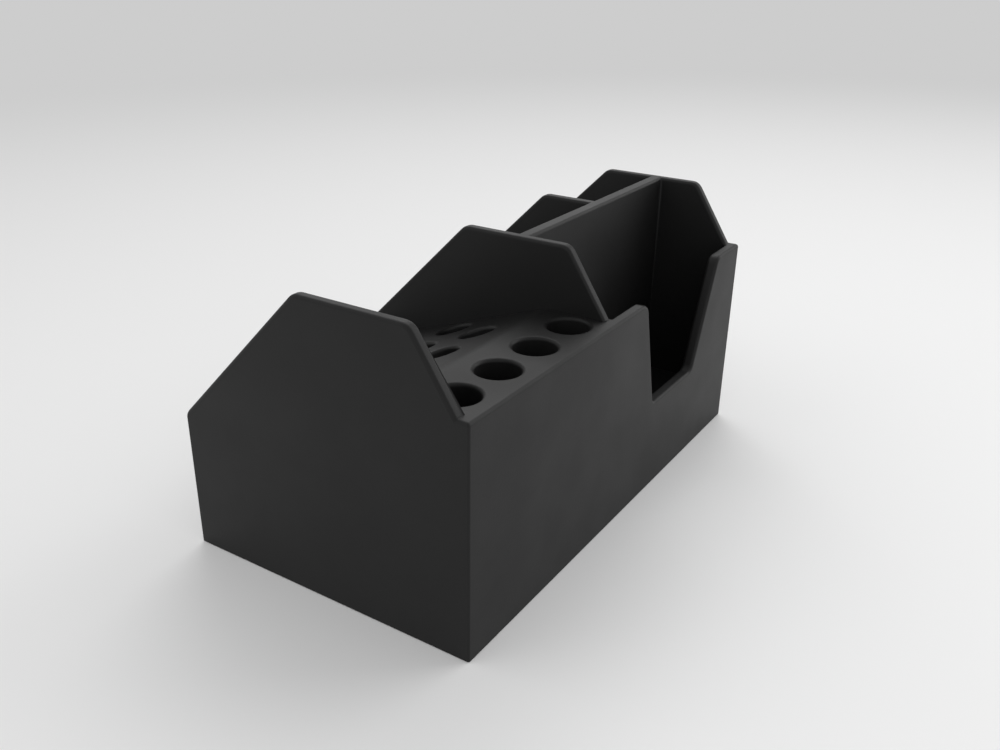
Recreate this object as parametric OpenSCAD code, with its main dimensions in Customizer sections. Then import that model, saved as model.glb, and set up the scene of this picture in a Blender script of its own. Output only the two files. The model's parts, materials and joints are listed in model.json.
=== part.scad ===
/* [Overall size] */
// Length of the housing, from end panel to end panel
body_l = 200; // [196:1:230]
// Depth of the housing, from the low front wall to the high back wall
body_d = 114.5; // [112:0.5:125]
// Height of the back wall and of the flat part of the pen deck
back_h = 80; // [77:0.5:86]
// Height of the front wall
front_h = 51; // [49:0.5:53]
// Height of the end panels, the cross dividers and the long partition
panel_h = 103.75; // [101:0.25:110]
// Gap that the feet leave between the desk and the rim of the housing
rim_gap = 0.4; // [0.3:0.1:1]

/* [Walls] */
// Thickness of the end panels and of the cross dividers
panel_t = 4; // [3.6:0.1:5]
// Thickness of the back wall
back_t = 4.5; // [4:0.1:5]
// Thickness of the front wall
front_t = 4; // [3.6:0.1:4.5]
// Thickness of the long partition
partition_t = 5.25; // [4.5:0.05:6]
// Rounding on the free edges of every wall and panel
edge_r = 1.25; // [0.9:0.05:1.5]
// Distance between the end of a rounded edge and the fillet that it runs towards
edge_stop = 0.4; // [0.3:0.1:1]
// Fillet in the upright inner corners and where the pen deck meets its panels
fillet_r = 2.5; // [1.5:0.1:3]

/* [Panel outline] */
// Slope of the front shoulder of the panels
front_shoulder_deg = 45; // [42:0.5:50]
// Slope of the back shoulder of the panels
back_shoulder_deg = 57; // [52:0.5:65]
// Rounding of the two top corners of the panels
top_corner_r = 5; // [3:0.5:8]

/* [Bays] */
// Clear length of the pen section
pen_bay_l = 82.2; // [80:0.1:90]
// Clear width of the tape bay
tape_bay_w = 51; // [50:0.5:54]
// Clear depth of the note compartment behind the partition
note_bay_d = 31.5; // [26:0.5:34]

/* [Back notch] */
// Height of the bottom edge of the notch
notch_z = 36.5; // [30:0.5:45]
// Length of the bottom edge of the notch
notch_w = 36.4; // [30:0.1:42]
// Distance of the middle of that edge from the left end of the housing
notch_x = 58.9; // [54:0.1:62]
// Lean of the side of the notch nearer to the pens
notch_pen_side_deg = 14.8; // [8:0.1:20]
// Lean of the side of the notch nearer to the left end
notch_left_side_deg = 22.3; // [12:0.1:26]
// Rounding of the two top corners of the notch
notch_top_r = 4.5; // [2:0.5:6]
// Rounding of the two bottom corners of the notch
notch_bottom_r = 2.5; // [1:0.5:5]

/* [Pen deck] */
// Depth of the flat strip, measured from the back face of the housing
deck_flat_d = 27.2; // [26:0.1:30]
// Slope of the rest of the deck
deck_slope_deg = 20; // [18:0.5:20]
// Thickness of the deck
deck_t = 3; // [2.5:0.1:4]
// Diameter of the marker holes
marker_d = 14.5; // [12:0.1:15]
// Number of marker holes
marker_count = 4; // [2:1:4]
// Distance of the marker row from the back face
marker_row_d = 13.3; // [12.8:0.1:14]
// Diameter of the pen holes in the slope
pen_d = 12.5; // [10:0.1:13]
// Rows of pen holes
pen_rows = 4; // [1:1:4]
// Distance of the first pen row from the crease, along the slope
pen_row_s = 16; // [14:0.1:17]
// Distance between neighbouring holes
hole_pitch = 21.3; // [19.5:0.1:21.5]
// Rounding of the rim of each hole
rim_r = 0.75; // [0.4:0.05:1]
// Wall of the collar under each hole
collar_t = 1.6; // [1.2:0.1:2]
// Length of the collar below the deck
collar_l = 6; // [3:0.5:8]

/* [Floor and base] */
// Height of the floor of the bays
floor_z = 16.5; // [16.5:0.1:19]
// Thickness of that floor
floor_t = 3; // [2.5:0.1:3.2]
// Thickness of the base plate
base_t = 2.4; // [2:0.1:2.8]
// Height of the underside of the base plate
base_z = 0.9; // [0.9:0.1:1.2]
// Diameter of the screw posts under the floor
post_d = 7; // [6:0.5:7.5]
// Distance of the posts from the end panels
post_in = 4.5; // [4.2:0.1:4.8]
// Shank diameter of the small screws
screw_d = 2.5; // [2:0.1:3]
// Head diameter of the small screws
screw_head_d = 4.8; // [4:0.1:5.4]
// Diameter of the rubber feet
foot_d = 14; // [10:1:18]
// Depth of the seat of each foot in the base plate
foot_seat = 0.5; // [0.4:0.1:0.8]

/* [Drawer] */
// How far the drawer front stands back from the face of the housing
front_recess = 6; // [4:0.5:8]
// Thickness of the drawer front
drawer_front_t = 3; // [2.5:0.1:4]
// Clearance between the drawer and what it slides in
drawer_gap = 0.3; // [0.3:0.05:0.4]
// Wall of the drawer tray
tray_wall = 1.6; // [1.4:0.1:2]
// Floor of the drawer tray
tray_floor = 1.4; // [1.2:0.1:1.8]
// Thickness of the guide ribs on the base plate
guide_t = 1.5; // [1.2:0.1:1.6]
// Height of the guide ribs
guide_h = 5.5; // [4:0.5:6.5]
// Distance from the back wall to the back of the closed tray
tray_back_gap = 4.5; // [3:0.5:6]
// Travel of the drawer
drawer_travel = 75; // [50:1:78]
// Length of the finger lip on the drawer front
lip_l = 64; // [40:1:90]
// Thickness of the finger lip
lip_t = 3; // [2.4:0.1:4]

/* [Tape dispenser] */
// Diameter of the steel axle
axle_d = 5; // [4:0.5:6]
// How far the axle lies below the top of the front wall
axle_drop = 1; // [0:0.5:3]
// Running clearance of the hub on the axle, in radius
axle_fit = 0.05; // [0.03:0.01:0.08]
// Outer diameter of the hub drum, which fits a 25 mm tape core
hub_d = 24.4; // [22:0.1:24.8]
// Clear width between the cheeks of the cradle
cheek_gap = 27; // [22:0.5:30]
// Thickness of the cheeks
cheek_t = 3; // [2.4:0.1:4]
// Width of the cheeks at their foot
cheek_foot_w = 40; // [34:1:44]
// Width of the cheeks at their top
cheek_top_w = 15; // [13:0.5:18]
// Height of the cheeks above the axle
cheek_over = 7; // [6:0.5:8]
// Side clearance of the hub between the cheeks
hub_gap = 0.3; // [0.25:0.05:0.5]
// Diameter of the hub flange
flange_d = 31; // [28:0.5:34]
// Thickness of the hub flange and of the cap at the other end
flange_t = 1.8; // [1.5:0.1:2.2]
// Thickness of the foot plate of the cradle
cradle_t = 2.4; // [2:0.1:3]
// Depth that the cap reaches into the drum
spigot_l = 3.8; // [3:0.2:4.6]
// Length of the serrated blade
blade_l = 22; // [20:2:26]
// Thickness of the blade
blade_t = 0.5; // [0.4:0.05:0.7]
// Height of the blade, teeth included
blade_h = 7; // [6:0.5:8]
// Pitch of the teeth
tooth_pitch = 2; // [1:0.5:2]
// Depth of the teeth
tooth_h = 1.2; // [0.8:0.1:1.6]
// Thickness of the bar that carries the blade
bar_t = 3; // [2.6:0.1:3.6]
// Shank diameter of the rivets
rivet_d = 1.6; // [1.2:0.1:2]
// Head diameter of the rivets
rivet_head_d = 3.2; // [2.8:0.1:3.6]

/* [Hidden] */
$fn = 48;

// Colours as the photograph shows them, and plain steel and rubber
BLACK = "#2e2e2e";
STEEL = "#b9bcc0";
RUBBER = "#151515";

arc_steps = 5;
edge_steps = 3;
rim_steps = 2;

// How far a cutting shape runs on past what it cuts
over = 1;
// Upright corners of the tray's pockets and of the cradle's foot plate
small_r = 3;
// Gap between the posts and the drawer's front or the back wall, and beside the guide ribs
post_gap = 1.5;
guide_gap = 0.2;
// Stops of the drawer under the floor, and how far they reach below the tray's rim
stop_w = 10;
stop_t = 1.6;
stop_drop = 0.8;
// Distances of the feet from the end panels and from the edges of the base plate
foot_in_x = 14;
foot_in_y = 5;
// Relief of the feet at their foot, and their clearance in the seats
foot_relief = 0.6;
foot_fit = 0.1;
// Place of the screws that hold the drawer front, beside the middle
front_screw_x = 12;
// Slanted ends of the finger lip, and its height above the foot of the front
lip_end = 5;
lip_z = 3.4;
// Depth by which the tray's two cross ribs stay below its rim
rib_drop = 3;
// Height of the screw posts above the foot plate of the cradle
cradle_post_h = 6;
// Rounding of the tops of the cheeks, and lead-in of their slots
cheek_r = 3;
lead_in = 2;
// Gap between the cradle's arm and the front wall, and roundings of the bar
arm_gap = 0.2;
bar_out_r = 2;
bar_nose_r = 0.8;
// Distance between the blade and the front face of the housing
blade_in = 0.5;
// How far the screws stay below the floor, and how far they bite into the cradle
screw_short = 1;
screw_bite = 4;
// Depth of a screw's cylindrical head, and its point
head_h = 0.4;
point_h = 0.6;
point_in = 0.5;
// Wall of the hub around its core and at its bore, and width and height of its grip ribs
hub_wall = 2;
rib_w = 2;
rib_h = 0.5;
hl = body_l / 2;
hd = body_d / 2;

// Inner faces of the housing
x_in = hl - panel_t;
y_back = hd - back_t;
y_front = front_t - hd;

// The pen section is at the right end, the storage bay at the left end
x_mid_r = x_in - pen_bay_l;
x_mid_l = x_mid_r - panel_t;
x_sub_r = x_mid_l - tape_bay_w;
x_sub_l = x_sub_r - panel_t;
y_part_b = y_back - note_bay_d;
y_part_f = y_part_b - partition_t;

y_top_b = y_back - (panel_h - back_h) / tan(back_shoulder_deg);
y_top_f = -hd + (panel_h - front_h) / tan(front_shoulder_deg);

// Pen deck
y_crease = hd - deck_flat_d;
deck_drop_t = deck_t / cos(deck_slope_deg);
row_pitch = hole_pitch * cos(30);
x_holes = x_mid_r + pen_bay_l / 2;
y_markers = hd - marker_row_d;

// Drawer
floor_under = floor_z - floor_t;
base_top = base_z + base_t;
tray_z = base_top + drawer_gap;
tray_top = floor_under - 2 * drawer_gap;
y_drawer_face = -hd + front_recess;
y_tray_f = y_drawer_face + drawer_front_t;
y_tray_b = y_back - tray_back_gap;
post_x = x_in - post_in;
post_ys = [y_tray_f + post_d / 2 + post_gap, 0, y_back - post_d / 2 - post_gap];
guide_x = post_x - post_d / 2 - guide_t - guide_gap;
tray_x = guide_x - drawer_gap;
y_stop = y_tray_b - tray_wall - drawer_travel - drawer_gap;
stop_xs = [-tray_x * 0.7, tray_x * 0.7];

// Tape dispenser
x_tape = (x_mid_l + x_sub_r) / 2;
y_axle = (y_part_f + y_front) / 2;
cheek_in = cheek_gap / 2;
axle_l = cheek_gap + 2 * cheek_t;
hub_w = cheek_gap - 2 * hub_gap;
axle_z = front_h - axle_drop;
y_bar = -hd + blade_t + blade_in;
z_blade = front_h + arm_gap;

function unit(v) = v / norm(v);
function turned(v, a) = [v.x * cos(a) - v.y * sin(a), v.x * sin(a) + v.y * cos(a)];

// One corner of an outline that runs anticlockwise, rounded to the radius r
function corner(a, p, b, r) =
    let (
        d1 = unit(p - a), d2 = unit(b - p),
        n = [d1.y, -d1.x],
        side = cross(d1, d2) < 0 ? -1 : 1,
        ang = acos(d1 * d2),
        c = p - d1 * r * tan(ang / 2) - side * r * n
    )
    r == 0 ? [p]
    : [for (i = [0:arc_steps]) c + side * r * turned(n, side * ang * i / arc_steps)];

// A whole outline from corners given as [x, y, radius]
function outline(c) = [for (i = [0:len(c) - 1])
    let (a = c[(i + len(c) - 1) % len(c)], p = c[i], b = c[(i + 1) % len(c)])
    each corner([a.x, a.y], [p.x, p.y], [b.x, b.y], p[2])];

// A solid of any outline in depth and height, from x along the housing
module cross_prism(x, l, corners) {
    translate([x, 0, 0]) rotate([90, 0, 90]) linear_extrude(l) polygon(outline(corners));
}

// A box with rounded upright corners, from its lowest corner and its size
module round_box(at, size, r) {
    translate(at) linear_extrude(size.z) polygon(outline(
        [[0, 0, r], [size.x, 0, r], [size.x, size.y, r], [0, size.y, r]]));
}

// The outer form: the outline of the end panels over a block with rounded corners
module outer_block() {
    intersection() {
        round_box([-hl, -hd, rim_gap], [body_l, body_d, panel_h], edge_r);
        cross_prism(-hl, body_l, [
            [-hd, rim_gap, 0], [hd, rim_gap, 0], [hd, back_h, 0], [y_back, back_h, 0],
            [y_top_b, panel_h, top_corner_r], [y_top_f, panel_h, top_corner_r],
            [-hd, front_h, 0]]);
    }
}

// Opens a bay between the panels, and levels the front wall beside it where it has one
module bay(x0, x1, y0, y1) {
    round_box([x0, y0, floor_z], [x1 - x0, y1 - y0, panel_h], fillet_r);
}
module level_front_wall(x0, x1) {
    translate([x0, -hd - over, front_h]) cube([x1 - x0, front_t + over, panel_h]);
}

module notch() {
    rise = back_h - notch_z;
    x_l = -hl + notch_x - notch_w / 2;
    x_r = -hl + notch_x + notch_w / 2;
    lean_r = tan(notch_pen_side_deg);
    lean_l = tan(notch_left_side_deg);
    // Above the wall the outline turns outwards, which rounds its two top corners
    translate([0, hd + over, 0]) rotate([90, 0, 0]) linear_extrude(back_t + 2 * over)
        polygon(outline([
            [x_l, notch_z, notch_bottom_r], [x_r, notch_z, notch_bottom_r],
            [x_r + rise * lean_r, back_h, notch_top_r],
            [x_r + rise * lean_r + 2 * notch_top_r, back_h, 0],
            [x_r + rise * lean_r + 2 * notch_top_r, back_h + over, 0],
            [x_l - rise * lean_l - 2 * notch_top_r, back_h + over, 0],
            [x_l - rise * lean_l - 2 * notch_top_r, back_h, 0],
            [x_l - rise * lean_l, back_h, notch_top_r]]));
}

// Height of the sloped part of the deck at a place y
function slope_z(y) = back_h - (y_crease - y) * tan(deck_slope_deg);

// Half of a long block along Y on z = 0, from a panel at x = 0 to past the middle of the
// pen section in the direction of side, with the lower corner at the panel rounded
module filleted_half(side, y0, y1) {
    w = pen_bay_l / 2 + over;
    translate([0, y1, 0]) rotate([90, 0, 0]) linear_extrude(y1 - y0)
        polygon([for (p = outline([[0, 0, fillet_r], [w, 0, 0], [w, body_d, 0], [0, body_d, 0]]))
            [side * p.x, p.y]]);
}

// Takes away all that stands above the deck between the two panels of the pen section
module above_deck() {
    for (m = [[x_mid_r, 1], [x_in, -1]]) translate([m[0], y_crease, back_h])
        filleted_half(m[1], -deck_flat_d, deck_flat_d + over);
    intersection() {
        for (m = [[x_mid_r, 1], [x_in, -1]]) translate([m[0], y_crease, back_h])
            rotate([deck_slope_deg, 0, 0]) filleted_half(m[1], -body_d, deck_flat_d);
        translate([x_mid_r - over, y_front, floor_z])
            cube([pen_bay_l + 2 * over, body_d, body_d]);
    }
    level_front_wall(x_mid_r, x_in);
}

// The hollow under the deck, which the collars hang into
module under_deck() {
    cross_prism(x_mid_r, pen_bay_l, [
        [y_front, floor_z, 0], [y_back, floor_z, 0], [y_back, back_h - deck_t, 0],
        [y_crease - deck_t * tan(deck_slope_deg / 2), back_h - deck_t, 0],
        [y_front, slope_z(y_front) - deck_drop_t, 0]]);
}

// Puts its children at every hole, on the deck's surface, with +Z out of the hole
module at_markers() {
    for (i = [0:marker_count - 1])
        translate([x_holes + (i - (marker_count - 1) / 2) * hole_pitch, y_markers, back_h])
            children();
}
module at_pens() {
    for (row = [0:pen_rows - 1]) {
        n = marker_count - 1 + row % 2;
        for (i = [0:n - 1])
            translate([x_holes + (i - (n - 1) / 2) * hole_pitch, y_crease, back_h])
                rotate([deck_slope_deg, 0, 0])
                    translate([0, -pen_row_s - row * row_pitch, 0]) children();
    }
}

module collar(d) {
    translate([0, 0, -deck_t - collar_l]) cylinder(h = collar_l + over, d = d + 2 * collar_t);
}

// A bore with a rounded rim
module rimmed_bore(d) {
    depth = deck_t + collar_l + over;
    r = d / 2;
    rotate_extrude() polygon(concat(
        [[0, -depth], [r, -depth]],
        [for (i = [0:rim_steps]) let (a = 90 * i / rim_steps)
            [r + rim_r * (1 - cos(a)), rim_r * (sin(a) - 1)]],
        [[r + rim_r, over], [0, over]]));
}

// What rounding takes off an edge: the outside of a corner whose faces look to +X and +Y. The
// first and the last facet run on past the faces.
function edge_section(s) = let (a = 90 / edge_steps, e = over + edge_r,
    tip = [edge_r * (cos(a) - 1), edge_r * sin(a)], out = -tip * 0.7 / norm(tip))
    [for (p = concat([out + [0, -edge_r]],
        [for (i = [0:edge_steps]) edge_r * [cos(a * i) - 1, sin(a * i) - 1]],
        [[-edge_r + out.y, out.x]], [[-edge_r + out.y, e], [e, e], [e, -edge_r + out.y]]))
        [s * p.x, p.y]];

// Rounds an edge along X at the depth y and the height z, whose other face looks to s * Y
module edge_x(x0, x1, y, z, s) {
    translate([x0, y, z]) rotate([90, 0, 90]) linear_extrude(x1 - x0) polygon(edge_section(s));
}
// Rounds an edge along Y, from y0 to y1 past the point that its children are moved to
module edge_y(y0, y1, s) {
    translate([0, y1, 0]) rotate([90, 0, 0]) linear_extrude(y1 - y0) polygon(edge_section(s));
}

// Rounds the free edges of the cross panels at the face x that looks to s * X. The top edge
// leaves out the part of it that the partition joins, from y0 to y1.
module panel_edges(x, s, y0 = body_d, y1 = body_d, back = true) {
    translate([x, -hd, front_h]) intersection() {
        rotate([front_shoulder_deg, 0, 0])
            edge_y(-body_d, norm([y_top_f + hd, panel_h - front_h]) + top_corner_r, s);
        translate([-hl, -over, 0]) cube([body_l, body_d, body_d]);
    }
    translate([x, 0, panel_h]) {
        edge_y(y_top_f - top_corner_r, min(y0, y_top_b + top_corner_r), s);
        if (y1 < y_top_b) edge_y(y1, y_top_b + top_corner_r, s);
    }
    if (back) translate([x, y_back, back_h]) intersection() {
        rotate([-back_shoulder_deg, 0, 0])
            edge_y(-norm([y_back - y_top_b, panel_h - back_h]) - top_corner_r, body_d, s);
        translate([-hl, -body_d, 0]) cube([body_l, 2 * body_d, body_d]);
    }
}

// Rounds the edge of one side of the notch, on both faces of the back wall
module notch_side_edges(x, lean, s) {
    for (m = [[hd, 1], [y_back, -1]]) translate([x, m[0], notch_z]) rotate([0, s * lean, 0])
        translate([0, 0, notch_bottom_r + edge_stop]) linear_extrude(body_d)
            polygon([for (p = edge_section(m[1])) [-s * p.y, p.x]]);
}

module free_edges() {
    f = fillet_r + edge_stop;
    for (s = [-1, 1]) panel_edges(s * hl, s);
    panel_edges(x_in, -1);
    panel_edges(x_mid_r, 1);
    panel_edges(-x_in, 1, y_part_f - f, y_part_b + f);
    panel_edges(x_mid_l, -1, y_part_f - f, y_part_b + f);
    for (m = [[x_sub_l, -1], [x_sub_r, 1]])
        panel_edges(m[0], m[1], y_part_f - f, body_d, false);
    for (m = [[-x_in, x_sub_l], [x_sub_r, x_mid_l]]) {
        edge_x(m[0] + f, m[1] - f, y_part_f, panel_h, -1);
        edge_x(m[0] + f, m[1] - f, y_front, front_h, 1);
        edge_x(m[0] + edge_stop, m[1] - edge_stop, -hd, front_h, -1);
    }
    edge_x(x_mid_r + edge_stop, x_in - edge_stop, -hd, front_h, -1);
    edge_x(-x_in + f, x_mid_l - f, y_part_b, panel_h, 1);
    edge_x(-x_in + f, x_mid_l - f, y_back, back_h, -1);
    edge_x(-body_l, body_l, hd, back_h, 1);
    // Notch
    x_l = -hl + notch_x - notch_w / 2;
    x_r = -hl + notch_x + notch_w / 2;
    notch_side_edges(x_r, notch_pen_side_deg, 1);
    notch_side_edges(x_l, notch_left_side_deg, -1);
    n = notch_bottom_r + edge_stop;
    for (m = [[hd, 1], [y_back, -1]]) edge_x(x_l + n, x_r - n, m[0], notch_z, m[1]);
}

module housing() {
    color(BLACK) difference() {
        union() {
            difference() {
                outer_block();
                above_deck();
                under_deck();
                bay(-x_in, x_mid_l, y_part_b, y_back);
                bay(x_sub_r, x_mid_l, y_front, y_part_f);
                bay(-x_in, x_sub_l, y_front, y_part_f);
                level_front_wall(x_sub_r, x_mid_l);
                level_front_wall(-x_in, x_sub_l);
                notch();
                free_edges();
                translate([-x_in, y_front, 0]) cube([2 * x_in, y_back - y_front, floor_z]);
                translate([-x_in, -hd - over, 0])
                    cube([2 * x_in, front_t + 2 * over, floor_under]);
            }
            at_markers() collar(marker_d);
            at_pens() collar(pen_d);
        }
        at_markers() rimmed_bore(marker_d);
        at_pens() rimmed_bore(pen_d);
    }
}

// A countersunk screw, head down at z = 0, pointing up
module screw(l) {
    cone_h = (screw_head_d - screw_d) / 2;
    rotate_extrude() polygon([[0, 0], [screw_head_d / 2, 0], [screw_head_d / 2, head_h],
        [screw_d / 2, head_h + cone_h], [screw_d / 2, l - point_h],
        [screw_d / 2 - point_in, l], [0, l]]);
}
// The hole that the screw fills
module screw_hole(l) {
    cone_h = (screw_head_d - screw_d) / 2;
    rotate_extrude() polygon([[0, -over], [screw_head_d / 2, -over],
        [screw_head_d / 2, head_h], [screw_d / 2, head_h + cone_h], [screw_d / 2, l], [0, l]]);
}

module at_posts() {
    for (x = [-post_x, post_x], y = post_ys) translate([x, y, 0]) children();
}
module at_cradle_screws() {
    for (x = [-1, 1]) translate([x_tape + x * (cheek_in + cheek_t + post_d / 2), y_axle, 0])
        children();
}

base_screw_l = floor_under - base_z - screw_short;
cradle_screw_l = floor_t + cradle_t + screw_bite;

module compartment_floor() {
    color(BLACK) difference() {
        union() {
            translate([-x_in, y_front, floor_under])
                cube([2 * x_in, y_back - y_front, floor_t]);
            at_posts() translate([0, 0, base_top])
                cylinder(h = floor_under - base_top + over, d = post_d);
            for (x = stop_xs) translate([x - stop_w / 2, y_stop - stop_t, tray_top - stop_drop])
                cube([stop_w, stop_t, floor_under - tray_top + stop_drop + over]);
        }
        at_posts() translate([0, 0, base_z]) screw_hole(base_screw_l + 0.5);
        at_cradle_screws() translate([0, 0, floor_under]) screw_hole(cradle_screw_l);
    }
}

module base_plate() {
    color(BLACK) difference() {
        union() {
            translate([-x_in, y_drawer_face, base_z])
                cube([2 * x_in, y_back - y_drawer_face, base_t]);
            for (x = [-guide_x - guide_t, guide_x]) translate([x, y_tray_f + over, base_top - over])
                cube([guide_t, y_back - over - y_tray_f, guide_h + over]);
        }
        at_posts() translate([0, 0, base_z]) screw_hole(base_screw_l);
        at_feet() translate([0, 0, -over])
            cylinder(h = base_z + foot_seat + over, d = foot_d);
    }
}

module base_screws() {
    color(STEEL) at_posts() translate([0, 0, base_z]) screw(base_screw_l);
}

module at_feet() {
    in_y = foot_d / 2 + foot_in_y;
    for (x = [-1, 1], y = [y_drawer_face + in_y, y_back - in_y])
        translate([x * (x_in - foot_d / 2 - foot_in_x), y, 0]) children();
}

module rubber_feet() {
    h = base_z + foot_seat;
    r = foot_d / 2 - foot_fit;
    color(RUBBER) at_feet() rotate_extrude() polygon([[0, 0], [r - foot_relief, 0],
        [r, foot_relief], [r, h], [0, h]]);
}

module drawer_tray() {
    inner_y = y_tray_b - y_tray_f - 2 * tray_wall;
    bay_x = (2 * tray_x - 4 * tray_wall) / 3;
    color(BLACK) difference() {
        translate([-tray_x, y_tray_f, tray_z])
            cube([2 * tray_x, y_tray_b - y_tray_f, tray_top - tray_z]);
        for (i = [0:2])
            translate([-tray_x + tray_wall + i * (bay_x + tray_wall), y_tray_f + tray_wall,
                tray_z + tray_floor]) rounded_pocket(bay_x, inner_y, tray_top - tray_z);
        // The two cross ribs stay below the stops under the floor
        translate([-tray_x + tray_wall + over, y_tray_f + tray_wall, tray_top - rib_drop])
            cube([2 * (tray_x - tray_wall - over), inner_y, rib_drop + over]);
        at_front_screws() screw_hole(tray_wall + drawer_front_t - 0.6);
    }
}

// A pocket with rounded upright corners
module rounded_pocket(w, d, h) {
    linear_extrude(h) polygon(outline(
        [[0, 0, small_r], [w, 0, small_r], [w, d, small_r], [0, d, small_r]]));
}

// The front is screwed on from inside the tray
module at_front_screws() {
    for (x = [-0.8, 0, 0.8]) translate([x * tray_x + front_screw_x, y_tray_f + tray_wall,
        (tray_z + tray_top) / 2]) rotate([90, 0, 0]) children();
}

module drawer_front() {
    w = x_in - drawer_gap;
    color(BLACK) difference() {
        union() {
            translate([-w, y_drawer_face, tray_z])
                cube([2 * w, drawer_front_t, floor_under - drawer_gap - tray_z]);
            translate([0, y_drawer_face + over, tray_z + lip_z]) linear_extrude(lip_t)
                polygon(outline([[-lip_l / 2, 0, 0],
                    [-lip_l / 2 + lip_end, -front_recess - over, small_r],
                    [lip_l / 2 - lip_end, -front_recess - over, small_r], [lip_l / 2, 0, 0]]));
        }
        at_front_screws() screw_hole(tray_wall + drawer_front_t - 0.6);
    }
}

module drawer_front_screws() {
    color(STEEL) at_front_screws() screw(tray_wall + drawer_front_t - 0.8);
}

// Side of the cradle with the open slot that the axle drops into
module cheek(x) {
    w = axle_d / 2 + axle_fit;
    z0 = floor_z + cradle_t - over;
    top = axle_z + cheek_over;
    translate([x, 0, 0]) rotate([90, 0, 90]) linear_extrude(cheek_t) difference() {
        polygon(outline([
            [y_axle - cheek_foot_w / 2, z0, 0], [y_axle + cheek_foot_w / 2, z0, 0],
            [y_axle + cheek_top_w / 2, top, cheek_r],
            [y_axle - cheek_top_w / 2, top, cheek_r]]));
        translate([y_axle, axle_z]) circle(r = w);
        polygon([[y_axle - w, axle_z], [y_axle + w, axle_z],
            [y_axle + w, top - cheek_r], [y_axle + w + lead_in, top + over],
            [y_axle - w - lead_in, top + over], [y_axle - w, top - cheek_r]]);
    }
}

module tape_cradle() {
    plate_w = tape_bay_w - 1.6 * fillet_r;
    y0 = y_front + fillet_r;
    y1 = y_part_f - fillet_r;
    arm_w = cheek_gap;
    y_arm = y_front + arm_gap;
    color(BLACK) difference() {
        union() {
            translate([x_tape - plate_w / 2, y0, floor_z]) linear_extrude(cradle_t)
                polygon(outline([[0, 0, small_r], [plate_w, 0, small_r],
                    [plate_w, y1 - y0, small_r], [0, y1 - y0, small_r]]));
            cheek(x_tape - cheek_in - cheek_t);
            cheek(x_tape + cheek_in);
            at_cradle_screws() translate([0, 0, floor_z + cradle_t / 2])
                cylinder(h = cradle_t / 2 + cradle_post_h, d = post_d);
            // Front arm: a post along the wall, and the bar on top that carries the blade
            translate([x_tape - arm_w / 2, 0, 0]) rotate([90, 0, 90]) linear_extrude(arm_w)
                polygon(outline([
                    [y_arm, floor_z, 0], [y_arm + bar_t, floor_z, 0],
                    [y_arm + bar_t, z_blade + bar_t, bar_out_r],
                    [y_bar, z_blade + bar_t, bar_nose_r], [y_bar, z_blade, 0],
                    [y_arm, z_blade, 0]]));
        }
        at_cradle_screws() translate([0, 0, floor_under]) screw_hole(cradle_screw_l);
        at_rivets() translate([0, 0, -bar_t]) cylinder(h = bar_t + over, d = rivet_d);
    }
}

module cradle_screws() {
    color(STEEL) at_cradle_screws() translate([0, 0, floor_under]) screw(cradle_screw_l - 0.2);
}

// Rivet places, with +Z out of the front face of the bar
module at_rivets() {
    for (x = [-1, 1]) translate([x_tape + x * (blade_l / 2 - rivet_head_d), y_bar,
        z_blade + bar_t / 2])
        rotate([90, 0, 0]) children();
}

module hub_axle() {
    c = 0.4;
    r = axle_d / 2;
    color(STEEL) translate([x_tape - axle_l / 2, y_axle, axle_z]) rotate([0, 90, 0])
        rotate_extrude() polygon([[0, 0], [r - c, 0], [r, c], [r, axle_l - c],
            [r - c, axle_l], [0, axle_l]]);
}

// Drum with one flange and three grip ribs, open at the other end for the cap
module hub_core() {
    r_bore = axle_d / 2 + axle_fit;
    r_drum = hub_d / 2;
    w = hub_w - flange_t;
    color(BLACK) translate([x_tape - hub_w / 2, y_axle, axle_z]) rotate([0, 90, 0]) {
        rotate_extrude() polygon([[r_bore, 0], [flange_d / 2 - 0.5, 0],
            [flange_d / 2, 0.5], [flange_d / 2, flange_t - 0.3],
            [flange_d / 2 - 0.3, flange_t], [r_drum, flange_t], [r_drum, w],
            [r_drum - hub_wall, w], [r_drum - hub_wall, flange_t + 0.4],
            [r_bore + hub_wall, flange_t + 0.4], [r_bore + hub_wall, w - spigot_l - 0.2],
            [r_bore, w - spigot_l - 0.2]]);
        for (a = [0:120:240]) rotate([0, 0, a])
            translate([r_drum - hub_wall / 2, -rib_w / 2, flange_t - 0.2])
                cube([hub_wall / 2 + rib_h, rib_w, w - flange_t - 1]);
    }
}

// Disc that closes the drum, small enough for the core of a roll to pass over it
module hub_cap() {
    r_bore = axle_d / 2 + axle_fit;
    r_cap = hub_d / 2 - 0.2;
    r_in = hub_d / 2 - hub_wall;
    color(BLACK) translate([x_tape + hub_w / 2, y_axle, axle_z]) rotate([0, -90, 0])
        rotate_extrude() polygon([[r_bore, 0], [r_cap - 0.8, 0], [r_cap, 0.8],
            [r_cap, flange_t], [r_in - 0.05, flange_t],
            [r_in - 0.05, flange_t + spigot_l - 0.4], [r_in - 1.6, flange_t + spigot_l],
            [r_in - 1.6, flange_t + 0.2], [r_bore + hub_wall, flange_t + 0.2],
            [r_bore + hub_wall, flange_t + spigot_l], [r_bore, flange_t + spigot_l]]);
}

module cutter_blade() {
    teeth = round(blade_l / tooth_pitch);
    pitch = blade_l / teeth;
    color(STEEL) difference() {
        translate([x_tape - blade_l / 2, y_bar, z_blade]) rotate([90, 0, 0])
            linear_extrude(blade_t) polygon(concat([[0, 0], [blade_l, 0]],
                [for (i = [teeth:-1:1]) each [[i * pitch, blade_h - tooth_h],
                    [(i - 0.5) * pitch, blade_h]]], [[0, blade_h - tooth_h]]));
        at_rivets() translate([0, 0, -over])
            cylinder(h = blade_t + 2 * over, d = rivet_d + 0.1);
    }
}

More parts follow.
